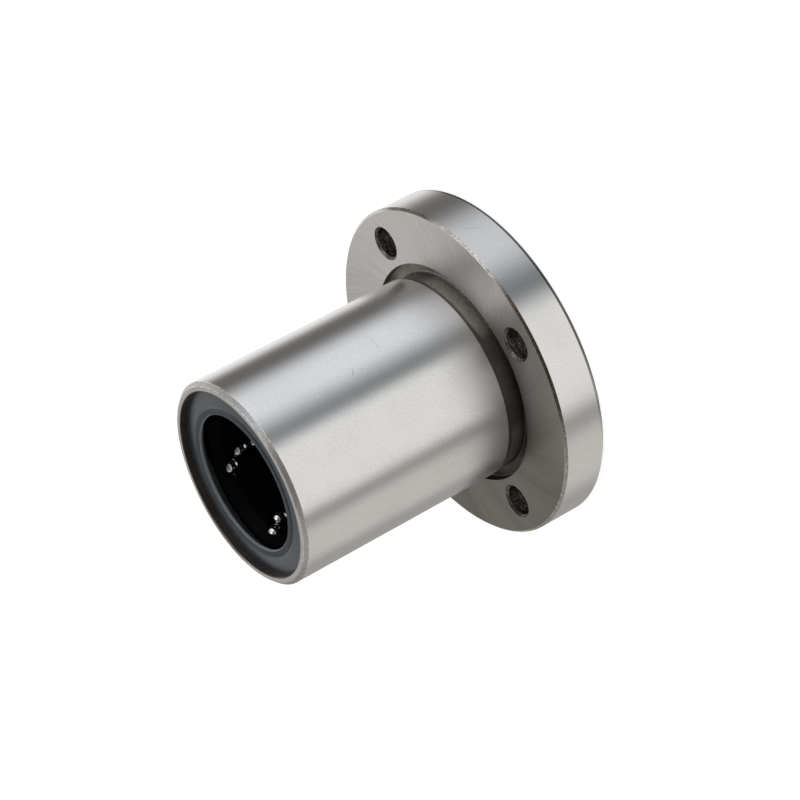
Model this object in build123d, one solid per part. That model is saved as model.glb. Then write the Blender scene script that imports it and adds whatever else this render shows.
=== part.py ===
"""Flanged linear ball bushing for a 30 mm shaft, in millimetres.

The axis is Z. The flange's outer face lies at z = 0 and the nose of the barrel points to +Z.
Six closed loops of balls run in a moulded cage inside a hardened sleeve: the balls of each loop
carry the shaft on a loaded row, and come back in a relieved channel of the sleeve.
"""
from build123d import *
import os
from math import acos, cos, degrees, pi, radians, sin

# Main sizes. The radii follow from the shaft outwards: ball, return channel, wall, flange
SHAFT_R = 15.0
BALL_D = 3.969
RETURN_LIFT = 1.5
CHANNEL_WALL = 1.961
LENGTH = 64.0
FLANGE_WIDTH = 14.5
FLANGE_T = 10.0

# Bolt holes, with their circle measured in from the flange's rim
BOLT_COUNT = 4
BOLT_INSET = 7.0
BOLT_HOLE_R = 3.3
HEAD_CLEARANCE = 2.2
HEAD_DEPTH = 6.1

# Broken edges of the sleeve
NOSE_CHAMFER = 0.85
RIM_CHAMFER = 0.5
BACK_CHAMFER = 0.45
MOUTH_CHAMFER = 0.15
HOLE_CHAMFER = 0.5
HEAD_CHAMFER = 0.3
BARREL_CHAMFER = 0.3

# Grinding relief beside the flange: an undercut neck and a trough turned into the flange's face
NECK_WIDTH = 3.0
NECK_DEPTH = 0.5
TROUGH_WIDTH = 2.2
TROUGH_DEPTH = 1.8
TROUGH_CORNER_R = 0.5

# Loops of balls. At rest each ball is a share of the ball spacing past the start of its stretch
CIRCUITS = 6
TURN_BALLS = 3
ROW_GAP = 0.25
FIRST_ROW_ANGLE = 8.4
REST_SHARE = 1 / 6

# Running gaps and fits
SHAFT_GAP = 0.02
RACE_GAP = 0.05
TRACK_GAP = 0.1
CAGE_GAP = 0.12
FIT_GAP = 0.02
RING_GAP = 0.05

# Cage
CAGE_BORE_GAP = 0.4
CAGE_END_WALL = 0.8
RIB_WALL = 1.1
MOUTH_FLARE = 1.0
MOUTH_LENGTH = 2.4

# Seat and stop ring at each end, with depths measured inwards from the end face
SEAT_WALL = 1.9
SEAT_DEPTH = 2.75
RING_T = 1.1
RING_GROOVE = 0.65
RING_OVERLAP = 0.9
RING_SPLIT = 5.0
RING_SPLIT_AT = 60.0

# Seal at each end: a skin of rubber on a steel washer, and a rim with the lip
SEAL_FACE_DEPTH = 1.5
SEAL_SKIN = 0.45
RIM_DEPTH = 1.0
RIM_WIDTH = 1.2
RIM_GROOVE_WIDTH = 0.35
RIM_GROOVE_DEPTH = 0.2
LIP_EDGE = 0.18
LIP_LAND = 0.5
LIP_UNDERCUT = 1.2
CORE_CLEARANCE = 2.1

# Radii and places that follow from the sizes above
BALL_R = BALL_D / 2
LOADED_R = SHAFT_R + SHAFT_GAP + BALL_R
RETURN_R = LOADED_R + RETURN_LIFT
RACE_R = LOADED_R + BALL_R + RACE_GAP
RELIEF_R = RETURN_R + BALL_R + RACE_GAP
BARREL_R = RELIEF_R + CHANNEL_WALL
FLANGE_R = BARREL_R + FLANGE_WIDTH
BOLT_CIRCLE_R = FLANGE_R - BOLT_INSET
HEAD_R = BOLT_HOLE_R + HEAD_CLEARANCE
NECK_R = BARREL_R - NECK_DEPTH
NECK_TOP = FLANGE_T + NECK_WIDTH
TROUGH_R = BARREL_R + TROUGH_WIDTH
TROUGH_FLOOR = FLANGE_T - TROUGH_DEPTH
SEAT_R = BARREL_R - SEAT_WALL
RING_SEAT_R = SEAT_R + RING_GROOVE
RING_SEAT_END = SEAT_DEPTH + RING_T + RING_GAP
MIDDLE = LENGTH / 2

# The cage
TRACK_R = BALL_R + TRACK_GAP
CAGE_R = RACE_R - CAGE_GAP
CAGE_BORE_R = SHAFT_R + CAGE_BORE_GAP
CAGE_HALF = MIDDLE - RING_SEAT_END - RING_GAP
RIB_R = RELIEF_R - CAGE_GAP
RIB_HALF = TRACK_R + RIB_WALL
CHANNEL_HALF = RIB_HALF + CAGE_GAP

# The loops: as many balls in a straight row as the cage has room for between its end walls
PITCH = BALL_D + ROW_GAP
TURN_R = TURN_BALLS * PITCH / pi
ROW_ROOM = 2 * (CAGE_HALF - CAGE_END_WALL - TRACK_R - TURN_R)
ROW_BALLS = int(ROW_ROOM / PITCH)
ROW_HALF = ROW_BALLS * PITCH / 2
ROW_SPACING = 2 * TURN_R
RETURN_ANGLE = degrees(acos((LOADED_R**2 + RETURN_R**2 - ROW_SPACING**2) / (2 * LOADED_R * RETURN_R)))
CIRCUIT_ANGLES = [FIRST_ROW_ANGLE + 360 / CIRCUITS * k for k in range(CIRCUITS)]


def section(pairs):
    """A flat face in the XZ plane from (radius, height) pairs."""
    return Plane.XZ * make_face(Polyline(*pairs, close=True))


def turned(pairs):
    """A body turned about Z from (radius, height) pairs."""
    return revolve(section(pairs), Axis.Z)


def both_ends(upper):
    """A body together with its mirror image about the middle of the bushing."""
    return upper + mirror(upper, Plane.XY.offset(MIDDLE))


def end_z(depth, nose):
    """The height of a point that lies depth inside the nose's or the flange's end face."""
    return LENGTH - depth if nose else depth


def end_ring(inner, outer, depths, nose):
    """A plain turned ring between two radii and two depths from an end face."""
    heights = [end_z(depth, nose) for depth in depths]
    low, high = min(heights), max(heights)
    return turned([(inner, low), (outer, low), (outer, high), (inner, high)])


def outer_strip(half_width, outer, half_length):
    """A straight strip along Z with flat sides and a round back, lying along +X from the loaded radius."""
    thickness = outer - LOADED_R
    slab = Pos(LOADED_R + thickness / 2, 0, MIDDLE) * Box(thickness, 2 * half_width, 2 * half_length)
    return slab & Pos(0, 0, MIDDLE) * Cylinder(outer, 2 * half_length)


def at_returns(shape):
    """Copies of a shape that lies along +X, one at the return row of each loop."""
    return [Rot(0, 0, angle + RETURN_ANGLE) * shape for angle in CIRCUIT_ANGLES]


def sleeve_blank():
    """The turned and ground outside of the sleeve: flange, trough, neck and barrel, with no bore."""
    profile = section([
        (0, 0),
        (FLANGE_R - BACK_CHAMFER, 0),
        (FLANGE_R, BACK_CHAMFER),
        (FLANGE_R, FLANGE_T - RIM_CHAMFER),
        (FLANGE_R - RIM_CHAMFER, FLANGE_T),
        (TROUGH_R, FLANGE_T),
        (TROUGH_R, TROUGH_FLOOR),
        (NECK_R, TROUGH_FLOOR),
        (NECK_R, NECK_TOP - BARREL_CHAMFER),
        (BARREL_R, NECK_TOP),
        (BARREL_R, LENGTH - NOSE_CHAMFER),
        (BARREL_R - NOSE_CHAMFER, LENGTH),
        (0, LENGTH),
    ])
    corners = profile.vertices().group_by(Axis.Z)[2]
    return revolve(fillet(corners, TROUGH_CORNER_R), Axis.Z)


def sleeve_bore():
    """The turned space inside the sleeve: raceway, wide ends, ring grooves and seal seats."""
    land_lead = RELIEF_R - RACE_R
    return both_ends(turned([
        (0, MIDDLE),
        (RACE_R, MIDDLE),
        (RACE_R, MIDDLE + ROW_HALF),
        (RELIEF_R, MIDDLE + ROW_HALF + land_lead),
        (RELIEF_R, LENGTH - RING_SEAT_END),
        (RING_SEAT_R, LENGTH - RING_SEAT_END),
        (RING_SEAT_R, LENGTH - SEAT_DEPTH),
        (SEAT_R, LENGTH - SEAT_DEPTH),
        (SEAT_R, LENGTH - MOUTH_CHAMFER),
        (SEAT_R + MOUTH_CHAMFER, LENGTH),
        (0, LENGTH),
    ]))


def bolt_hole():
    """One flange hole about Z: through bore, counterbore for the screw's head, and their broken edges."""
    return turned([
        (0, 0),
        (HEAD_R + HEAD_CHAMFER, 0),
        (HEAD_R, HEAD_CHAMFER),
        (HEAD_R, HEAD_DEPTH),
        (BOLT_HOLE_R, HEAD_DEPTH),
        (BOLT_HOLE_R, FLANGE_T - HOLE_CHAMFER),
        (BOLT_HOLE_R + HOLE_CHAMFER, FLANGE_T),
        (0, FLANGE_T),
    ])


def outer_sleeve():
    """Barrel and flange in one piece of hardened steel, relieved inside for the returning balls."""
    channels = at_returns(outer_strip(CHANNEL_HALF, RELIEF_R, MIDDLE - RING_SEAT_END))
    holes = PolarLocations(BOLT_CIRCLE_R, BOLT_COUNT) * bolt_hole()
    return sleeve_blank() - sleeve_bore() - channels - holes


def loop_plane(angle):
    """The flat plane that a loop lies in: x from the loaded row to the return row, y along the shaft."""
    loaded = Vector(LOADED_R, 0, MIDDLE).rotate(Axis.Z, angle)
    returning = Vector(RETURN_R, 0, MIDDLE).rotate(Axis.Z, angle + RETURN_ANGLE)
    across = (returning - loaded).normalized()
    return Plane(origin=loaded, x_dir=across, z_dir=across.cross(Vector(0, 0, 1)))


def ball_track():
    """The space of one loop in its own plane: a round-bottomed groove, open to the outside all round."""
    row = Rot(90, 0, 0) * Cylinder(TRACK_R, 2 * ROW_HALF)
    bend = Pos(TURN_R, ROW_HALF, 0) * Torus(TURN_R, TRACK_R, major_angle=180, align=None)
    tube = row + Pos(ROW_SPACING, 0, 0) * row + bend + mirror(bend, Plane.XZ)
    outer = SlotCenterToCenter(2 * ROW_HALF, 2 * (TURN_R + TRACK_R), rotation=90)
    inner = SlotCenterToCenter(2 * ROW_HALF, 2 * (TURN_R - TRACK_R), rotation=90)
    walls = Pos(TURN_R, 0, 0) * extrude(outer - inner, RELIEF_R - LOADED_R + TRACK_R)
    return tube + walls


def ball_cage():
    """Moulded cage with flared mouths, six ball tracks, and a rib in each channel of the sleeve."""
    top = MIDDLE + CAGE_HALF
    tube = both_ends(turned([
        (CAGE_BORE_R, MIDDLE),
        (CAGE_R, MIDDLE),
        (CAGE_R, top),
        (CAGE_BORE_R + MOUTH_FLARE, top),
        (CAGE_BORE_R, top - MOUTH_LENGTH),
    ]))
    ribs = at_returns(outer_strip(RIB_HALF, RIB_R, CAGE_HALF))
    track = ball_track()
    return tube + ribs - [loop_plane(angle) * track for angle in CIRCUIT_ANGLES]


def stop_ring(nose):
    """Split spring ring that snaps into the groove behind the seal and holds the cage endways."""
    outer = RING_SEAT_R - RING_GAP
    inner = CAGE_R - RING_OVERLAP
    ring = end_ring(inner, outer, (SEAT_DEPTH, SEAT_DEPTH + RING_T), nose)
    split = Pos(outer, 0, end_z(SEAT_DEPTH, nose)) * Box(2 * (outer - inner) + RING_SPLIT, RING_SPLIT, 4 * RING_T)
    return ring - Rot(0, 0, RING_SPLIT_AT) * split


def seal_core(nose):
    """Pressed steel washer that stiffens the seal and sits in the end's seat."""
    return end_ring(SHAFT_R + CORE_CLEARANCE, SEAT_R - FIT_GAP, (SEAL_FACE_DEPTH + SEAL_SKIN, SEAT_DEPTH), nose)


def seal_lip(nose):
    """Moulded rubber of the seal: a skin over the steel washer and a lip that wipes the shaft."""
    rim_r = SHAFT_R + RIM_WIDTH
    groove_r = rim_r + RIM_GROOVE_WIDTH
    outline = [
        (SEAT_R - FIT_GAP, SEAL_FACE_DEPTH + SEAL_SKIN),
        (SEAT_R - FIT_GAP, SEAL_FACE_DEPTH),
        (groove_r + RIM_GROOVE_WIDTH, RIM_DEPTH + RIM_GROOVE_DEPTH / 2),
        (groove_r, RIM_DEPTH + RIM_GROOVE_DEPTH),
        (rim_r, RIM_DEPTH),
        (SHAFT_R + LIP_EDGE, RIM_DEPTH),
        (SHAFT_R, RIM_DEPTH + LIP_EDGE),
        (SHAFT_R, RIM_DEPTH + LIP_LAND),
        (SHAFT_R + LIP_UNDERCUT, SEAT_DEPTH),
        (SHAFT_R + CORE_CLEARANCE, SEAT_DEPTH),
        (SHAFT_R + CORE_CLEARANCE, SEAL_FACE_DEPTH + SEAL_SKIN),
    ]
    return turned([(radius, end_z(depth, nose)) for radius, depth in outline])


def row_balls(x, heading):
    """The balls of a straight row at x in the loop's plane: heading is 1 towards the nose, -1 back."""
    steps = [(k + REST_SHARE) * PITCH - ROW_HALF for k in range(ROW_BALLS)]
    return [Pos(x, heading * step, 0) * Sphere(BALL_R) for step in steps]


def turn_balls(side):
    """The balls in a half-circle turn: side is 1 out of the loaded row at the nose, -1 back into it."""
    angles = [(k + REST_SHARE) * PITCH / TURN_R for k in range(TURN_BALLS)]
    places = [(TURN_R - side * TURN_R * cos(a), side * (ROW_HALF + TURN_R * sin(a))) for a in angles]
    return [Pos(x, y, 0) * Sphere(BALL_R) for x, y in places]


def loop_groups():
    """The four groups of balls of one loop, in its own plane. Each group moves as one."""
    return {
        "loaded_balls": row_balls(0, 1),
        "nose_turn_balls": turn_balls(1),
        "return_balls": row_balls(ROW_SPACING, -1),
        "flange_turn_balls": turn_balls(-1),
    }


def all_nodes():
    """Every piece of the bushing by name."""
    nodes = {"outer_sleeve": outer_sleeve(), "ball_cage": ball_cage()}
    for end, nose in (("nose", True), ("flange", False)):
        nodes[f"{end}_stop_ring"] = stop_ring(nose)
        nodes[f"{end}_seal_core"] = seal_core(nose)
        nodes[f"{end}_seal_lip"] = seal_lip(nose)
    groups = loop_groups()
    for number, angle in enumerate(CIRCUIT_ANGLES, start=1):
        plane = loop_plane(angle)
        for group, balls in groups.items():
            nodes[f"circuit_{number}_{group}"] = Compound([plane * ball for ball in balls])
    return nodes


os.makedirs("parts", exist_ok=True)
for node, shape in all_nodes().items():
    export_step(shape, f"parts/{node}.step")
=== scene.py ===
"""Looks of the flanged linear ball bushing: finishes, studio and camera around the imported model.

The axis of the bushing is Z. The flange's outer face lies on the floor and the nose points up.
Everything is in metres, and sizes are written in millimetres times MM.
"""

import logging
import math
from dataclasses import dataclass, replace
from enum import Enum
from typing import Any

import bpy
from mathutils import Matrix, Vector


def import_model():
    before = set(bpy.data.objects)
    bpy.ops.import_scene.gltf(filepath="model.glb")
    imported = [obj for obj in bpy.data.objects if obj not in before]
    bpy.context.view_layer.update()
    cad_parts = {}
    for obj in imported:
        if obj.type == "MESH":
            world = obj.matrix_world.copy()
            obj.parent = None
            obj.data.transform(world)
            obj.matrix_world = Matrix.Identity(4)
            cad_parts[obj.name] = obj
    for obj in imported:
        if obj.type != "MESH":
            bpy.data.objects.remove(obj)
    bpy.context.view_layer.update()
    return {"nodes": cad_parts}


Triple = tuple[float, float, float]
Colour = Triple
Band = tuple[float, float]
Patch = tuple[float, float, float, float]

MM = 0.001
CAMERA_AZIMUTH = -87.987
HALF_TURN = 180.0
TO_DEGREES = HALF_TURN / math.pi
# A quarter turn, counted in whole turns: it draws highlights out across the grinding and turning lines.
GRAIN_ACROSS = 0.25
MIDDLE = 0.5
BLACK: Colour = (0.0, 0.0, 0.0)
WHITE: Colour = (1.0, 1.0, 1.0)
# The numbers of a Mix node's sockets for colours.
MIX_FACTOR, MIX_FIRST, MIX_SECOND, MIX_RESULT = 0, 6, 7, 2
log = logging.getLogger("bushing")


class Signal:
    """A socket of a shader that carries numbers, so that an expression on it adds Math nodes."""

    def __init__(self, bench: "Bench", socket: bpy.types.NodeSocket) -> None:
        """Keeps the socket and the bench that its nodes stand on."""
        self.bench = bench
        self.socket = socket

    def _maths(self, operation: str, *values: Any) -> "Signal":
        """Adds one Math node for the operation on the values."""
        sockets = dict(enumerate(values))
        return self.bench.node("ShaderNodeMath", {"operation": operation}, sockets).out(0)

    def __add__(self, other: Any) -> "Signal":
        """Sum."""
        return self._maths("ADD", self, other)

    def __radd__(self, other: Any) -> "Signal":
        """Sum."""
        return self._maths("ADD", other, self)

    def __sub__(self, other: Any) -> "Signal":
        """Difference."""
        return self._maths("SUBTRACT", self, other)

    def __rsub__(self, other: Any) -> "Signal":
        """Difference."""
        return self._maths("SUBTRACT", other, self)

    def __mul__(self, other: Any) -> "Signal":
        """Product."""
        return self._maths("MULTIPLY", self, other)

    def __truediv__(self, other: Any) -> "Signal":
        """Quotient."""
        return self._maths("DIVIDE", self, other)

    def __pow__(self, other: Any) -> "Signal":
        """Power."""
        return self._maths("POWER", self, other)

    def clamped(self) -> "Signal":
        """The value kept between 0 and 1."""
        return self._maths("MINIMUM", self._maths("MAXIMUM", self, 0.0), 1.0)

    def absolute(self) -> "Signal":
        """The value without its sign."""
        return self._maths("ABSOLUTE", self)

    def sine(self) -> "Signal":
        """The sine of the value in radians."""
        return self._maths("SINE", self)

    def angle_over(self, other: "Signal") -> "Signal":
        """The angle whose tangent is this value over the other one."""
        return self._maths("ARCTAN2", self, other)

    def wrapped(self, high: float, low: float) -> "Signal":
        """The value brought between low and high by whole turns of that range."""
        return self._maths("WRAP", self, high, low)

    def hypot(self, other: "Signal") -> "Signal":
        """The length of the line whose two legs are this value and the other one."""
        return (self * self + other * other) ** 0.5

    def smooth(self, low: float, high: float) -> "Signal":
        """A soft step from 0 where the value is low to 1 where it is high."""
        settings = {"interpolation_type": "SMOOTHSTEP"}
        sockets = {"Value": self, "From Min": low, "From Max": high}
        return self.bench.node("ShaderNodeMapRange", settings, sockets).out("Result")


@dataclass(frozen=True)
class Placed:
    """A node that stands on the bench."""

    bench: "Bench"
    node: bpy.types.Node

    def out(self, name: str | int) -> Signal:
        """The output of that name or number."""
        return Signal(self.bench, self.node.outputs[name])


@dataclass(frozen=True)
class Pattern:
    """A noise over a surface, and how far it enters the finish.

    The stretch multiplies the coordinates first. For the tone, the band of the noise is drawn out to the
    whole range from 0 to 1. Share, gloss and height are its weights in tone, roughness and bump.
    """

    scale: float
    detail: float
    roughness: float = 0.5
    stretch: Triple | None = None
    band: Band | None = None
    share: float = 1.0
    gloss: float = 0.0
    height: float = 1.0


@dataclass(frozen=True)
class Texture:
    """The noise of a pattern on a surface, from 0 to 1."""

    pattern: Pattern
    noise: Signal

    def tone(self) -> Signal:
        """Its part in the tone."""
        drawn = self.noise.smooth(*self.pattern.band) if self.pattern.band else self.noise
        return drawn * self.pattern.share

    def gloss(self) -> Signal:
        """Its part in the roughness, up and down from the noise's middle."""
        return (self.noise - MIDDLE) * self.pattern.gloss

    def relief(self) -> Signal:
        """Its part in the bump's height."""
        return self.noise * self.pattern.height


class Bench:
    """The node tree of one material or world, with the few ways of adding to it."""

    def __init__(self, owner: bpy.types.Material | bpy.types.World) -> None:
        """Clears the owner's tree.

        Args:
            owner: The material or world whose tree this is.
        """
        owner.use_nodes = True
        self.tree = owner.node_tree
        self.tree.nodes.clear()

    def node(self, kind: str, settings: dict[str, Any] | None = None,
             sockets: dict[Any, Any] | None = None) -> Placed:
        """Adds a node.

        Args:
            kind: The node's type.
            settings: Properties, which are set first.
            sockets: A value or a Signal for each input, by name or number.

        Returns:
            The placed node.
        """
        made = self.tree.nodes.new(kind)
        for name, value in (settings or {}).items():
            setattr(made, name, value)
        for name, value in (sockets or {}).items():
            if isinstance(value, Signal):
                self.tree.links.new(value.socket, made.inputs[name])
            else:
                made.inputs[name].default_value = value
        return Placed(self, made)

    def place(self) -> Signal:
        """The point of the surface in the object's own coordinates."""
        return self.node("ShaderNodeTexCoord").out("Object")

    def split(self, vector: Signal) -> tuple[Signal, Signal, Signal]:
        """The three numbers of a vector."""
        parts = self.node("ShaderNodeSeparateXYZ", sockets={0: vector})
        return parts.out("X"), parts.out("Y"), parts.out("Z")

    def join(self, x: Any, y: Any, z: Any) -> Signal:
        """A vector from three numbers."""
        return self.node("ShaderNodeCombineXYZ", sockets={0: x, 1: y, 2: z}).out(0)

    def side(self, vector: Signal, bearing: float, low: float, high: float) -> Signal:
        """A soft step round the axis, up to 1 on the side that lies at a bearing in degrees.

        Args:
            vector: The point.
            bearing: The direction of the side's middle, from +X towards +Y.
            low: The cosine of the angle from the middle at which the step starts.
            high: The cosine at which it is complete.

        Returns:
            The step.
        """
        x, y, _ = self.split(vector)
        along = x * math.cos(math.radians(bearing)) + y * math.sin(math.radians(bearing))
        return (along / x.hypot(y)).smooth(low, high)

    def patched(self, vector: Signal, patches: tuple[Patch, ...]) -> Any:
        """The sum of several sides, each with a share before its bearing, low and high."""
        return sum(self.side(vector, *side) * share for share, *side in patches)

    def stretched(self, vector: Signal, factors: Triple) -> Signal:
        """The vector with each number times its own factor."""
        return self.node("ShaderNodeVectorMath", {"operation": "MULTIPLY"}, {0: vector, 1: factors}).out(0)

    def texture(self, vector: Signal, pattern: Pattern) -> Texture:
        """The texture of a pattern at a vector."""
        where = self.stretched(vector, pattern.stretch) if pattern.stretch else vector
        sockets = {
            "Vector": where, "Scale": pattern.scale, "Detail": pattern.detail, "Roughness": pattern.roughness}
        return Texture(pattern, self.node("ShaderNodeTexNoise", sockets=sockets).out("Fac"))

    def mix(self, way: str, factor: Any, first: Any, second: Any) -> Signal:
        """Two colours, each three numbers or a Signal, mixed in one of the Mix node's ways."""
        sides = [(*side, 1.0) if isinstance(side, tuple) else side for side in (first, second)]
        sockets = {MIX_FACTOR: factor, MIX_FIRST: sides[0], MIX_SECOND: sides[1]}
        return self.node("ShaderNodeMix", {"data_type": "RGBA", "blend_type": way}, sockets).out(MIX_RESULT)

    def blend(self, factor: Any, first: Any, second: Any) -> Signal:
        """The first colour where the factor is 0, and the second where it is 1."""
        return self.mix("MIX", factor, first, second)

    def stained_and_shaded(self, factor: Any, colour: Signal, stain_and_shade: Colour) -> Signal:
        """The colour, multiplied by a darker colour as far as the factor says: used for stains, marks and
        painted shade.
        """
        return self.mix("MULTIPLY", factor, colour, stain_and_shade)

    def bump(self, height: Signal, distance: float) -> Signal:
        """A normal from a height, where a height of 1 stands a distance in metres high."""
        sockets = {"Height": height, "Distance": distance, "Strength": 1.0}
        return self.node("ShaderNodeBump", sockets=sockets).out("Normal")

    def finish(self, **sockets: Any) -> None:
        """Ends a material with a Principled shader.

        Args:
            sockets: The shader's inputs, with _ for the spaces in their names and colours as three numbers.
        """
        named = {}
        for name, value in sockets.items():
            named[name.replace("_", " ")] = (*value, 1.0) if isinstance(value, tuple) else value
        shader = self.node("ShaderNodeBsdfPrincipled", sockets=named)
        self.node("ShaderNodeOutputMaterial", sockets={"Surface": shader.out("BSDF")})


class Finish:
    """A finish that makes its own material."""

    title: str

    def material(self) -> bpy.types.Material:
        """The material of this finish."""
        made = bpy.data.materials.new(self.title)
        self.dress(Bench(made))
        return made

    def dress(self, bench: Bench) -> None:
        """Puts the finish's nodes on the bench."""
        raise NotImplementedError


@dataclass(frozen=True)
class Scratch:
    """A short straight scratch on a round surface, from one bearing and height to another."""

    start: tuple[float, float]
    end: tuple[float, float]
    half_width: float
    core: float = 0.3

    def mask(self, bench: Bench, place: Signal, radius: float) -> Signal:
        """A signal that is 1 in the scratch's core and 0 beside the scratch.

        Args:
            bench: The bench of the surface's finish.
            place: The point of the surface.
            radius: The radius of the surface.

        Returns:
            The mask.
        """
        x, y, height = bench.split(place)
        across = y.angle_over(x) * radius - math.radians(self.start[0]) * radius
        above = height - self.start[1]
        width = math.radians(self.end[0] - self.start[0]) * radius
        rise = self.end[1] - self.start[1]
        along = ((across * width + above * rise) / (width * width + rise * rise)).clamped()
        away = (across - along * width).hypot(above - along * rise)
        return 1 - away.smooth(self.half_width * self.core, self.half_width)


@dataclass(frozen=True)
class GroundSteel(Finish):
    """Hardened steel, ground all round: a fine sparkling grain, faint rings, and light marks of use.

    It is duller in the lower part of the piece. A dark band of painted shade runs along the lower edge of one
    side, and a darker patch, partly smudges and partly painted shade, can lie on another.
    """

    title: str = "ground_steel_barrel"
    tone: Colour = (0.665, 0.66, 0.655)
    wear_and_highlight_tone: Colour = (0.575, 0.57, 0.565)
    roughness: float = 0.26
    anisotropy: float = 0.7
    dull_below: float = 28.0 * MM
    dull_ramp: float = 12.0 * MM
    dull_share: float = 0.45
    dull_gloss: float = 0.05
    grain: Pattern = Pattern(3900.0, 2.0, 0.6, band=(0.34, 0.66), share=0.6, gloss=0.12, height=0.7)
    rings: Pattern = Pattern(5200.0, 1.0, stretch=(0.02, 0.02, 1.0), height=0.3)
    cloud: Pattern = Pattern(90.0, 4.0, 0.6, band=(0.3, 0.75), share=0.25, gloss=0.06)
    hairlines: Pattern = Pattern(700.0, 1.0, stretch=(1.0, 1.0, 0.12), band=(0.72, 0.78), share=0.3)
    specks: Pattern = Pattern(330.0, 5.0, 0.7, band=(0.5, 0.78), share=0.3)
    depth: float = 0.004 * MM
    radius: float = 22.5 * MM
    scratches: tuple[Scratch, ...] = ()
    scratch_share: float = 0.42
    # The dark colour of the scratches and of the painted shade.
    mark_and_shade_tone: Colour = (0.16, 0.15, 0.14)
    edge_shade_line: float = 0.85 * MM
    edge_shade_fade: float = 0.1 * MM
    edge_shade_bearing: float = -63.0
    edge_shade_reach: Band = (0.3, 0.85)
    smear_and_shade: float = 0.0
    smear_and_shade_bearing: float = -60.0
    smear_and_shade_reach: Band = (0.88, 0.985)

    def dress(self, bench: Bench) -> None:
        """Grain and grinding rings in the bump, soft patches in tone and gloss, and the oily marks."""
        place = bench.place()
        _, _, height = bench.split(place)
        dull = 1 - height.smooth(self.dull_below - self.dull_ramp, self.dull_below)
        grain, rings = bench.texture(place, self.grain), bench.texture(place, self.rings)
        cloud, hairlines = bench.texture(place, self.cloud), bench.texture(place, self.hairlines)
        specks = bench.texture(place, self.specks)
        wear = grain.tone() + cloud.tone() + hairlines.tone() + dull * self.dull_share + specks.tone()
        steel = bench.blend(wear, self.tone, self.wear_and_highlight_tone)
        bench.finish(
            Base_Color=bench.stained_and_shaded(self._marks_and_shade(bench, place, height), steel, self.mark_and_shade_tone),
            Metallic=1.0,
            Roughness=self.roughness + cloud.gloss() + grain.gloss() + dull * self.dull_gloss,
            Anisotropic=self.anisotropy,
            Anisotropic_Rotation=GRAIN_ACROSS,
            Normal=bench.bump(grain.relief() + rings.relief(), self.depth),
        )

    def _marks_and_shade(self, bench: Bench, place: Signal, height: Signal) -> Signal:
        """How dark the marks are: painted shade along the lower edge, the darker patch with its painted
        shade, and the scratches.
        """
        # Painted shade: a dark band along the lower edge, on one side only, where a wider chamfer would lie
        # in shade.
        low = 1 - height.smooth(self.edge_shade_line - self.edge_shade_fade, self.edge_shade_line + self.edge_shade_fade)
        marks = low * bench.side(place, self.edge_shade_bearing, *self.edge_shade_reach)
        # A darker patch on one side: partly smudges and partly painted shade.
        marks = marks + bench.side(place, self.smear_and_shade_bearing, *self.smear_and_shade_reach) * self.smear_and_shade
        for scratch in self.scratches:
            marks = marks + scratch.mask(bench, place, self.radius) * self.scratch_share
        return marks


@dataclass(frozen=True)
class TurnedFace(Finish):
    """A face turned on the lathe: fine lines fan out over it, and one side is darkened by painted shade."""

    title: str = "turned_steel_face"
    tone: Colour = (0.62, 0.612, 0.595)
    line_tone: Colour = (0.44, 0.43, 0.412)
    # Painted shade: the colour that one side of the face is darkened to.
    stain_and_shade: Colour = (0.235, 0.218, 0.196)
    painted_shade_bearing: float = 177.0
    painted_shade_reach: Band = (0.08, 0.85)
    stain_and_shade_share: float = 0.96
    painted_shade_streaks: float = 0.16
    roughness: float = 0.38
    anisotropy: float = 0.58
    fans: Pattern = Pattern(5.0, 2.0, share=0.24)
    lines: Pattern = Pattern(90.0, 2.0, 0.6, band=(0.3, 0.7), share=0.36, gloss=0.12)
    cross: Pattern = Pattern(36.0, 2.0, share=0.14)
    grain: Pattern = Pattern(2600.0, 2.0, 0.6, share=0.26, gloss=0.08)
    depth: float = 0.004 * MM
    sweep: float = -20.0
    cross_sweep: float = 16.0
    outward: float = 1.2

    def dress(self, bench: Bench) -> None:
        """Lines that fan out from the middle and sweep round a little, with a fine grain over them."""
        place = bench.place()
        swept = self._swept(bench, place, self.sweep)
        fans, lines = bench.texture(swept, self.fans), bench.texture(swept, self.lines)
        cross = bench.texture(self._swept(bench, place, self.cross_sweep), self.cross)
        grain = bench.texture(place, self.grain)
        steel = bench.blend(
            fans.tone() + lines.tone() + cross.tone() + grain.tone(), self.tone, self.line_tone)
        # Painted shade: one side of the face is darkened, a little streaked along the fans.
        share = self.stain_and_shade_share + (fans.noise - MIDDLE) * self.painted_shade_streaks
        stained_and_shaded = bench.side(place, self.painted_shade_bearing, *self.painted_shade_reach) * share
        bench.finish(
            Base_Color=bench.stained_and_shaded(stained_and_shaded, steel, self.stain_and_shade),
            Metallic=1.0,
            Roughness=self.roughness + lines.gloss() + grain.gloss(),
            Anisotropic=self.anisotropy,
            Anisotropic_Rotation=GRAIN_ACROSS,
            Normal=bench.bump(grain.relief(), self.depth),
        )

    def _swept(self, bench: Bench, place: Signal, sweep: float) -> Signal:
        """The place in coordinates that run round the axis, turned further the further out it lies."""
        x, y, _ = bench.split(place)
        radius = x.hypot(y)
        turn = y.angle_over(x) + radius * sweep
        return bench.join(turn.sine(), (turn + math.pi / 2).sine(), radius * self.outward)


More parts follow.
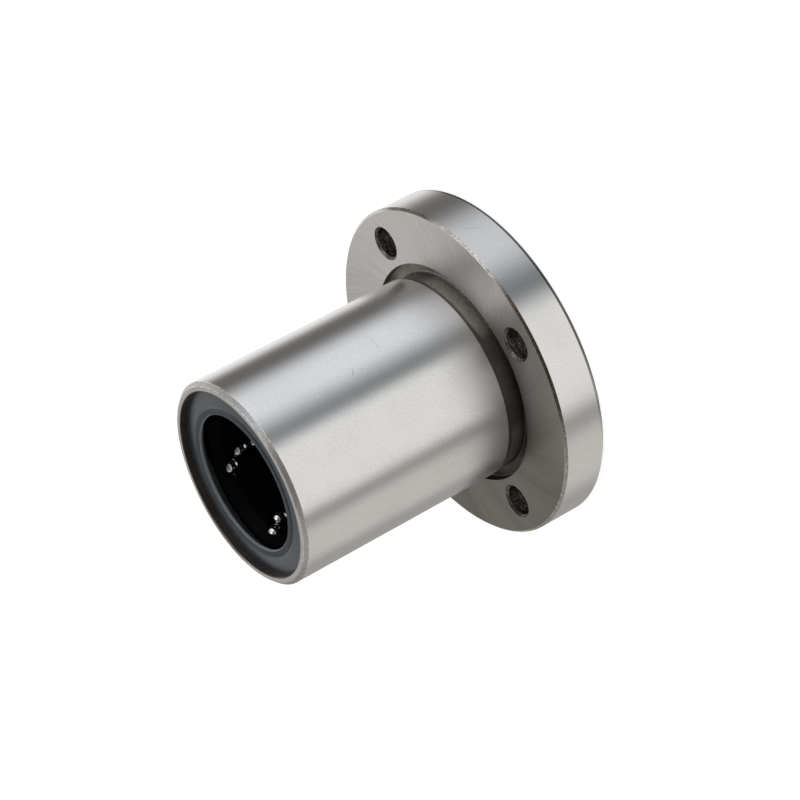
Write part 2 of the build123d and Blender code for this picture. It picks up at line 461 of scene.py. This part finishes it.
@dataclass(frozen=True)
class CutEdge(Finish):
    """A broken edge: a coarser cut than the faces beside it, with nicks, darker sides from stains and painted
    shade, and arrises rubbed bright and painted as thin highlights.
    """

    title: str = "cut_steel_edge"
    tone: Colour = (0.56, 0.55, 0.54)
    dark_tone: Colour = (0.40, 0.388, 0.375)
    # Bright lines along the arrises: rubbed bright, and painted highlight.
    arris_wear_and_highlight_tone: Colour = (0.92, 0.92, 0.92)
    # The darker colour of the patched sides, for stains and painted shade.
    stain_and_shade: Colour = (0.85, 0.84, 0.83)
    stain_and_shade_share: float = 0.75
    stain_nicks: float = 0.5
    patches: tuple[Patch, ...] = ((1.0, 162.0, 0.6, 0.95),)
    arrises: tuple[float, ...] = ()
    arris_reach: Band = (0.02 * MM, 0.13 * MM)
    roughness: float = 0.42
    nicks: Pattern = Pattern(3200.0, 3.0, 0.65, band=(0.35, 0.66), gloss=0.15)
    breaks: Pattern = Pattern(900.0, 2.0, 0.6, band=(0.38, 0.55))
    depth: float = 0.008 * MM

    def dress(self, bench: Bench) -> None:
        """Nicks in tone, gloss and bump, darker sides from stains and painted shade, and broken bright lines
        along the arrises, partly wear and partly painted highlight.
        """
        place = bench.place()
        x, y, _ = bench.split(place)
        nicks, breaks = bench.texture(place, self.nicks), bench.texture(place, self.breaks)
        # Stains and painted shade on the patched sides.
        side = bench.patched(place, self.patches)
        stained_and_shaded = side * (self.stain_and_shade_share + nicks.noise * self.stain_nicks)
        base = bench.stained_and_shaded(stained_and_shaded, bench.blend(nicks.tone(), self.tone, self.dark_tone), self.stain_and_shade)
        # Broken bright lines along the arrises, kept off the darkened sides: rubbed bright, and painted
        # highlight.
        for arris in self.arrises:
            near = 1 - (x.hypot(y) - arris).absolute().smooth(*self.arris_reach)
            base = bench.blend(near * breaks.tone() * (1 - side), base, self.arris_wear_and_highlight_tone)
        bench.finish(
            Base_Color=base,
            Metallic=1.0,
            Roughness=self.roughness + nicks.gloss(),
            Normal=bench.bump(nicks.relief(), self.depth),
        )


@dataclass(frozen=True)
class HeatScale(Finish):
    """Dark scale from hardening, left where the grinding wheel doesn't reach.

    A darker colour is multiplied in as painted light and shade: all round as far as its all-round share says,
    on the patched sides, and in a band of painted shadow at the height of the shoulder, under the barrel's
    edge.
    """

    title: str
    tone: Colour
    bare_tone: Colour
    stain_and_shade: Colour = WHITE
    painted_shade_all_round: float = 0.0
    patches: tuple[Patch, ...] = ()
    shoulder: float = 12.5 * MM
    shoulder_reach: Band = (0.15 * MM, 0.95 * MM)
    metal: float = 0.7
    roughness: float = 0.5
    bare_gloss: float = 0.12
    bare_band: Band = (0.38, 0.76)
    flecks: Pattern = Pattern(2600.0, 4.0, 0.65, share=0.55, height=0.6)
    cloud: Pattern = Pattern(140.0, 3.0, 0.6, share=0.45)
    rings: Pattern = Pattern(2600.0, 1.0, stretch=(0.05, 0.05, 1.0), height=0.4)
    depth: float = 0.01 * MM

    def dress(self, bench: Bench) -> None:
        """Turning marks under the scale, flecks where it has rubbed thin, and the painted light and shade."""
        place = bench.place()
        _, _, height = bench.split(place)
        flecks, cloud = bench.texture(place, self.flecks), bench.texture(place, self.cloud)
        rings = bench.texture(place, self.rings)
        bare = (flecks.tone() + cloud.tone()).smooth(*self.bare_band)
        # Painted shadow: a band at the shoulder, where the neck lies in the shade of the barrel's edge.
        band = 1 - (height - self.shoulder).absolute().smooth(*self.shoulder_reach)
        # Painted light and shade on the patched sides and all round; a negative share leaves a side lighter.
        stained_and_shaded = band + bench.patched(place, self.patches) + self.painted_shade_all_round
        bench.finish(
            Base_Color=bench.stained_and_shaded(stained_and_shaded, bench.blend(bare, self.tone, self.bare_tone), self.stain_and_shade),
            Metallic=self.metal,
            Roughness=self.roughness - bare * self.bare_gloss,
            Normal=bench.bump(flecks.relief() + rings.relief(), self.depth),
        )


@dataclass(frozen=True)
class DrilledHole(Finish):
    """The wall of a drilled hole, scaled by the hardening, with the drill's marks round it."""

    title: str = "drilled_hole"
    tone: Colour = (0.05, 0.041, 0.035)
    bare_tone: Colour = (0.42, 0.39, 0.36)
    metal: float = 0.85
    roughness: float = 0.36
    bare_band: Band = (0.47, 0.68)
    flecks: Pattern = Pattern(2200.0, 3.0, 0.7, share=0.6, height=0.5)
    rings: Pattern = Pattern(3200.0, 2.0, stretch=(0.1, 0.1, 1.0), share=0.4, height=0.5)
    depth: float = 0.05 * MM

    def dress(self, bench: Bench) -> None:
        """Rings from the drill and rough flecks of bare metal."""
        place = bench.place()
        flecks, rings = bench.texture(place, self.flecks), bench.texture(place, self.rings)
        bare = (flecks.tone() + rings.tone()).smooth(*self.bare_band)
        bench.finish(
            Base_Color=bench.blend(bare, self.tone, self.bare_tone),
            Metallic=self.metal,
            Roughness=self.roughness,
            Normal=bench.bump(flecks.relief() + rings.relief(), self.depth),
        )


@dataclass(frozen=True)
class MouldedResin(Finish):
    """Black moulded resin with a dull skin."""

    title: str = "cage_resin"
    tone: Colour = (0.003, 0.003, 0.0033)
    roughness: float = 0.45
    specular: float = 0.03
    peel: Pattern = Pattern(700.0, 2.0, gloss=0.08)
    depth: float = 0.004 * MM

    def dress(self, bench: Bench) -> None:
        """A faint orange-peel from the mould."""
        peel = bench.texture(bench.place(), self.peel)
        bench.finish(
            Base_Color=self.tone,
            Roughness=self.roughness + peel.gloss(),
            Specular_IOR_Level=self.specular,
            Normal=bench.bump(peel.relief(), self.depth),
        )


@dataclass(frozen=True)
class SealRubber(Finish):
    """Satin slate-black rubber with faint streaks from the mould, a painted highlight along the lip edge and
    a dull rim.
    """

    title: str = "seal_rubber"
    tone: Colour = (0.018, 0.026, 0.036)
    streak_tone: Colour = (0.027, 0.038, 0.051)
    # Painted highlight: the light colour of the lip's inner edge.
    wear_and_highlight_tone: Colour = (0.22, 0.23, 0.24)
    lip_highlight_reach: Band = (15.19 * MM, 15.21 * MM)
    rim_reach: Band = (16.1 * MM, 16.5 * MM)
    rim_gloss: float = 0.28
    roughness: float = 0.33
    specular: float = 0.6
    sheen: Colour = (0.84, 0.93, 1.0)
    streaks: Pattern = Pattern(500.0, 3.0, 0.6, stretch=(1.0, 0.25, 0.25), band=(0.3, 0.7), gloss=0.1)
    grain: Pattern = Pattern(3000.0, 2.0)
    depth: float = 0.003 * MM

    def dress(self, bench: Bench) -> None:
        """Soft streaks and a fine matt grain."""
        place = bench.place()
        x, y, _ = bench.split(place)
        streaks, grain = bench.texture(place, self.streaks), bench.texture(place, self.grain)
        rubber = bench.blend(streaks.tone(), self.tone, self.streak_tone)
        # Painted highlight: the lip's inner edge is lightened into a thin bright line round the bore.
        lip = 1 - x.hypot(y).smooth(*self.lip_highlight_reach)
        rim = 1 - x.hypot(y).smooth(*self.rim_reach)
        bench.finish(
            Base_Color=bench.blend(lip, rubber, self.wear_and_highlight_tone),
            Roughness=self.roughness + streaks.gloss() + rim * self.rim_gloss,
            Specular_IOR_Level=self.specular,
            Specular_Tint=self.sheen,
            Normal=bench.bump(grain.relief(), self.depth),
        )


@dataclass(frozen=True)
class SheetSteel(Finish):
    """Plain sheet or spring steel with a thin film of oil."""

    title: str
    tone: Colour
    roughness: float
    shade: float = 0.7
    grain: Pattern = Pattern(2400.0, 2.0, stretch=(0.2, 1.0, 1.0), gloss=0.1)
    cloud: Pattern = Pattern(200.0, 3.0)
    depth: float = 0.003 * MM

    def dress(self, bench: Bench) -> None:
        """Fine rolling grain and a cloudy tone."""
        place = bench.place()
        grain, cloud = bench.texture(place, self.grain), bench.texture(place, self.cloud)
        shaded = tuple(self.shade * part for part in self.tone)
        bench.finish(
            Base_Color=bench.blend(cloud.tone(), self.tone, shaded),
            Metallic=1.0,
            Roughness=self.roughness + grain.gloss(),
            Normal=bench.bump(grain.relief(), self.depth),
        )


@dataclass(frozen=True)
class PolishedBall(Finish):
    """A polished bearing ball under a film of oil."""

    title: str = "ball_steel"
    tone: Colour = (0.58, 0.575, 0.57)
    roughness: float = 0.06
    cloud: Pattern = Pattern(400.0, 2.0, gloss=0.03)

    def dress(self, bench: Bench) -> None:
        """A mirror finish with hardly any cloud in it."""
        cloud = bench.texture(bench.place(), self.cloud)
        bench.finish(Base_Color=self.tone, Metallic=1.0, Roughness=self.roughness + cloud.gloss())


COARSE_NICKS = replace(CutEdge.nicks, scale=2200.0)


class SleeveZone(Enum):
    """The differently machined zones of the sleeve, each with its own finish."""

    BARREL = GroundSteel(scratches=(
        Scratch((-62.4, 39.5 * MM), (-65.3, 40.3 * MM), 0.13 * MM),
        Scratch((-64.3, 37.9 * MM), (-64.7, 37.8 * MM), 0.15 * MM),
        Scratch((-51.2, 31.8 * MM), (-58.8, 31.9 * MM), 0.08 * MM)))
    # The darker patch on the rim: faint smudges with painted shade.
    RIM = GroundSteel(
        title="ground_steel_rim", rings=replace(GroundSteel.rings, scale=2600.0), dull_below=0.0,
        radius=37.0 * MM, smear_and_shade=0.2, scratches=(Scratch((-47.2, 6.8 * MM), (-49.5, 4.2 * MM), 0.07 * MM),))
    FACE = TurnedFace()
    # The darker patch on the nose is painted shade on one side of the ring.
    NOSE = GroundSteel(
        title="ground_steel_nose", tone=(0.50, 0.49, 0.475), wear_and_highlight_tone=(0.42, 0.41, 0.395), roughness=0.4,
        anisotropy=0.0, dull_below=0.0, smear_and_shade=0.6, smear_and_shade_bearing=112.0)
    NOSE_EDGE = CutEdge(arrises=(21.65 * MM, 22.5 * MM))
    FRONT_EDGE = CutEdge(
        title="flange_front_edge", tone=(0.77, 0.76, 0.75), dark_tone=(0.42, 0.40, 0.38),
        arris_wear_and_highlight_tone=(0.8, 0.8, 0.8), stain_and_shade=(0.2, 0.155, 0.125), nicks=COARSE_NICKS, depth=0.03 * MM,
        patches=((1.0, -96.0, 0.79, 0.97), (0.9, -24.0, 0.955, 0.993), (0.45, -153.0, 0.82, 0.94)),
        arrises=(36.5 * MM,))
    BACK_EDGE = CutEdge(title="flange_back_edge", tone=(0.07, 0.06, 0.055), dark_tone=(0.03, 0.027, 0.025))
    HOLE_EDGE = CutEdge(
        title="hole_edge", tone=(0.24, 0.225, 0.21), dark_tone=(0.05, 0.043, 0.038), nicks=COARSE_NICKS)
    UNDERCUT_EDGE = CutEdge(
        title="undercut_edge", tone=(0.05, 0.043, 0.038), dark_tone=(0.02, 0.018, 0.016))
    # Painted light and shade: darker all round, lighter on the side towards the light, and darker again on a
    # side next to it.
    NECK = HeatScale(
        "neck_scale", (0.32, 0.29, 0.26), (0.62, 0.585, 0.545), stain_and_shade=(0.25, 0.24, 0.23), painted_shade_all_round=0.7,
        patches=((-0.8, -55.0, 0.84, 0.975), (0.75, -103.0, 0.8, 0.985)))
    # Painted shade on one side of the trough.
    TROUGH = HeatScale(
        "trough_scale", (0.21, 0.19, 0.17), (0.44, 0.415, 0.385), stain_and_shade=(0.2, 0.185, 0.17),
        patches=((1.0, -175.0, -0.1, 0.5),))
    HOLE = DrilledHole()
    SEAT = HeatScale("seat_scale", (0.06, 0.047, 0.038), (0.15, 0.125, 0.105), roughness=0.4)


@dataclass
class OuterSleeve:
    """The one-piece steel sleeve, dressed zone by zone.

    The part of a face's normal along the axis says how it stands: it is flat above flat_from and upright
    below upright_to, with either sign, and undercut below undercut_lean.
    """

    flange_face: float = 10.0 * MM
    trough_low: float = 8.0 * MM
    barrel_low: float = 13.0 * MM
    barrel_high: float = 63.15 * MM
    barrel_radius: float = 22.5 * MM
    rim_radius: float = 37.0 * MM
    seat_radius: float = 20.6 * MM
    neck_inside: float = 21.6 * MM
    trough_radius: float = 24.7 * MM
    hole_circle: float = 30.0 * MM
    hole_reach: float = 5.9 * MM
    hole_edge: float = 1.0 * MM
    slack: float = 0.06 * MM
    flat_from: float = 0.98
    upright_to: float = 0.02
    undercut_lean: float = -0.1

    def dress(self, node: bpy.types.Object) -> None:
        """Gives each face of the sleeve the finish of its zone.

        Args:
            node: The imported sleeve.
        """
        node.data.materials.clear()
        numbers = {}
        for number, zone in enumerate(SleeveZone):
            node.data.materials.append(zone.value.material())
            numbers[zone] = number
        for face in node.data.polygons:
            face.material_index = numbers[self.zone(face.center, face.normal)]
        log.info("sleeve dressed in %d zones", len(numbers))

    def zone(self, centre: Vector, normal: Vector) -> SleeveZone:
        """The zone of a face.

        Args:
            centre: The middle of the face.
            normal: The direction that the face looks in.

        Returns:
            The zone that it belongs to.
        """
        radius = math.hypot(centre.x, centre.y)
        flat = abs(normal.z) > self.flat_from
        upright = abs(normal.z) < self.upright_to
        outward = normal.x * centre.x + normal.y * centre.y > 0
        if centre.z < self.flange_face + self.slack and radius > self.trough_radius + self.slack:
            return self._flange_zone(centre, radius, flat, upright and outward)
        if self.trough_low < centre.z < self.barrel_low and radius > self.neck_inside:
            if normal.z < self.undercut_lean:
                return SleeveZone.UNDERCUT_EDGE
            return SleeveZone.NECK if upright and outward else SleeveZone.TROUGH
        if upright and outward and radius > self.barrel_radius - 2 * self.slack:
            return SleeveZone.BARREL
        if centre.z > self.barrel_high and radius > self.seat_radius:
            if flat:
                return SleeveZone.NOSE
            return SleeveZone.NOSE_EDGE if normal.z > 0 and outward else SleeveZone.SEAT
        if flat and centre.z < self.slack:
            return SleeveZone.FACE
        return SleeveZone.SEAT

    def _flange_zone(self, centre: Vector, radius: float, flat: bool, outward: bool) -> SleeveZone:
        """The zone of a face of the flange itself."""
        if outward and radius > self.rim_radius - 2 * self.slack:
            return SleeveZone.RIM
        if flat and (centre.z < self.slack or centre.z > self.flange_face - self.slack):
            return SleeveZone.FACE
        if radius > self.hole_circle + self.hole_reach:
            return SleeveZone.FRONT_EDGE if centre.z > self.flange_face / 2 else SleeveZone.BACK_EDGE
        if centre.z > self.flange_face - self.hole_edge or centre.z < self.hole_edge:
            return SleeveZone.HOLE_EDGE
        return SleeveZone.HOLE


@dataclass
class Inside:
    """Everything that the sleeve holds: cage, stop rings, seals and balls."""

    rings: SheetSteel = SheetSteel("spring_steel", (0.20, 0.20, 0.21), 0.35)
    cores: SheetSteel = SheetSteel("core_steel", (0.30, 0.30, 0.31), 0.4)

    def dress(self, nodes: dict[str, bpy.types.Object]) -> None:
        """Gives every inner piece its finish.

        Args:
            nodes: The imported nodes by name.
        """
        finishes = {
            "cage": MouldedResin().material(),
            "stop_ring": self.rings.material(),
            "seal_core": self.cores.material(),
            "seal_lip": SealRubber().material(),
            "balls": PolishedBall().material(),
        }
        for name, node in nodes.items():
            for ending, material in finishes.items():
                if name.endswith(ending):
                    node.data.materials.clear()
                    node.data.materials.append(material)
                    log.info("%s dressed", name)


@dataclass(frozen=True)
class Softbox:
    """A soft-edged panel of light at a great distance, with its place and width in degrees.

    Its azimuth is counted from the camera's, and grows towards the upper left of the picture.
    """

    azimuth: float
    half_width: float
    edge: float
    low: float
    high: float
    strength: float
    tint: Colour = WHITE
    fade: float = 8.0


@dataclass(frozen=True)
class Studio:
    """A light tent with a few panels, a pale floor and the camera of the photograph.

    The panels below the horizon make the bands along the barrel and the rim. Those above it light the
    flange's face, the edges, the seal and the balls. A negative strength takes light away.
    """

    ambient: Colour = (0.165, 0.158, 0.150)
    panels: tuple[Softbox, ...] = (
        Softbox(-22, 39, 9, -95, -4, 0.94, (1.0, 0.995, 0.975)),
        Softbox(69, 26, 16, -95, -4, 0.92, (0.945, 0.985, 1.04)),
        Softbox(30, 20, 12, -95, -4, 0.11, (0.75, 0.98, 1.2)),
        Softbox(163, 24, 12, -95, -4, 0.95),
        Softbox(-120, 46, 12, -95, -4, 0.28, (1.0, 0.99, 0.94)),
        Softbox(-98, 27, 12, -95, -4, 0.33, (1.0, 0.99, 0.94)),
        Softbox(62, 24, 12, 36, 58, 1.1, (0.98, 0.99, 1.02)),
        Softbox(66, 24, 12, -4, 32, 1.5, (0.98, 0.99, 1.02)),
        Softbox(126, 34, 14, -4, 60, 0.29, (1.0, 0.99, 0.98)),
        Softbox(168, 40, 16, -4, 46, 0.64, (1.0, 0.99, 0.98)),
        Softbox(-104, 36, 14, -4, 62, 0.46, (1.0, 0.97, 0.93)),
        Softbox(-55, 25, 14, -4, 50, 0.15, (1.0, 0.98, 0.94)),
        Softbox(50, 15, 6, 43, 60, 1.6, fade=4.0),
        Softbox(0, 200, 10, 76, 100, 0.3),
        Softbox(180, 200, 10, 56, 100, -0.07, (1.2, 1.0, 0.7)),
        Softbox(-12, 36, 14, -4, 18, 1.1, (1.0, 0.98, 0.94)),
    )
    eye: Triple = (19.138 * MM, -544.412 * MM, 292.594 * MM)
    right: Triple = (-0.45487649, -0.40743947, -0.79188412)
    up: Triple = (0.88999672, -0.17651364, -0.420415)
    back: Triple = (0.03151532, -0.89601117, 0.44291169)
    lens: float = 133.146
    sensor: float = 36.0
    clip: Band = (0.01, 50.0)
    floor_size: float = 6.0
    floor_tone: Colour = (0.35, 0.35, 0.35)
    floor_roughness: float = 0.9
    floor_glow: float = 0.88

    def camera(self) -> None:
        """Puts the camera where the photograph was taken from."""
        data = bpy.data.cameras.new("photo_camera")
        data.lens = self.lens
        data.sensor_width = self.sensor
        data.clip_start, data.clip_end = self.clip
        made = bpy.data.objects.new("photo_camera", data)
        turn = Matrix((self.right, self.up, self.back)).transposed().to_4x4()
        made.matrix_world = Matrix.Translation(self.eye) @ turn
        bpy.context.scene.collection.objects.link(made)
        bpy.context.scene.camera = made

    def floor(self) -> None:
        """Lays a plain pale floor.

        It hardly takes a shadow, isn't mirrored in the steel and is clear from beneath.
        """
        bpy.ops.object.select_all(action="DESELECT")
        bpy.ops.mesh.primitive_plane_add(size=self.floor_size)
        plane = bpy.context.object
        plane.name = "floor"
        material = bpy.data.materials.new("pale_floor")
        bench = Bench(material)
        pale = bench.node("ShaderNodeBsdfPrincipled", sockets={
            "Base Color": (*self.floor_tone, 1.0), "Roughness": self.floor_roughness,
            "Specular IOR Level": 0.0, "Emission Color": (*WHITE, 1.0), "Emission Strength": self.floor_glow})
        clear = bench.node("ShaderNodeBsdfTransparent")
        beneath = bench.node("ShaderNodeNewGeometry").out("Backfacing")
        sides = bench.node("ShaderNodeMixShader", sockets={0: beneath, 1: pale.out(0), 2: clear.out(0)})
        bench.node("ShaderNodeOutputMaterial", sockets={"Surface": sides.out(0)})
        plane.data.materials.append(material)
        plane.visible_glossy = False
        plane.visible_shadow = False
        plane.visible_diffuse = False

    def light(self) -> None:
        """Hangs the panels round the object."""
        world = bpy.data.worlds.new("light_tent")
        bpy.context.scene.world = world
        bench = Bench(world)
        x, y, z = bench.split(bench.node("ShaderNodeTexCoord").out("Generated"))
        front = math.radians(CAMERA_AZIMUTH)
        ahead = x * math.cos(front) + y * math.sin(front)
        aside = y * math.cos(front) - x * math.sin(front)
        azimuth = aside.angle_over(ahead) * TO_DEGREES
        height = z.angle_over(ahead.hypot(aside)) * TO_DEGREES
        light = bench.blend(0.0, self.ambient, BLACK)
        for panel in self.panels:
            light = self._with_panel(bench, light, panel, azimuth, height)
        seen = bench.node("ShaderNodeLightPath").out("Is Camera Ray")
        colour = bench.blend(seen, light, WHITE)
        back = bench.node("ShaderNodeBackground", sockets={"Color": colour, "Strength": 1.0})
        bench.node("ShaderNodeOutputWorld", sockets={"Surface": back.out("Background")})

    @staticmethod
    def _with_panel(bench: Bench, light: Signal, panel: Softbox, azimuth: Signal, height: Signal) -> Signal:
        """The light with one more panel added to it."""
        outside = (azimuth - panel.azimuth).wrapped(HALF_TURN, -HALF_TURN).absolute()
        across = 1 - outside.smooth(panel.half_width - panel.edge, panel.half_width + panel.edge)
        above = height.smooth(panel.low - panel.fade, panel.low + panel.fade)
        below = 1 - height.smooth(panel.high - panel.fade, panel.high + panel.fade)
        glow = tuple(panel.strength * part for part in panel.tint)
        return bench.mix("ADD", 1.0, light, bench.blend(across * above * below, BLACK, glow))

    def build(self) -> None:
        """Sets up camera, floor, light and the plain view transform."""
        self.camera()
        self.floor()
        self.light()
        bpy.context.scene.view_settings.view_transform = "Standard"
        log.info("studio ready")


def main() -> None:
    """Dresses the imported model, sets up the studio and keeps the sizes."""
    logging.basicConfig(level=logging.INFO, format="%(name)s: %(message)s")
    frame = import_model()
    OuterSleeve().dress(frame["nodes"]["outer_sleeve"])
    Inside().dress(frame["nodes"])
    Studio().build()


if __name__ == "__main__":
    main()
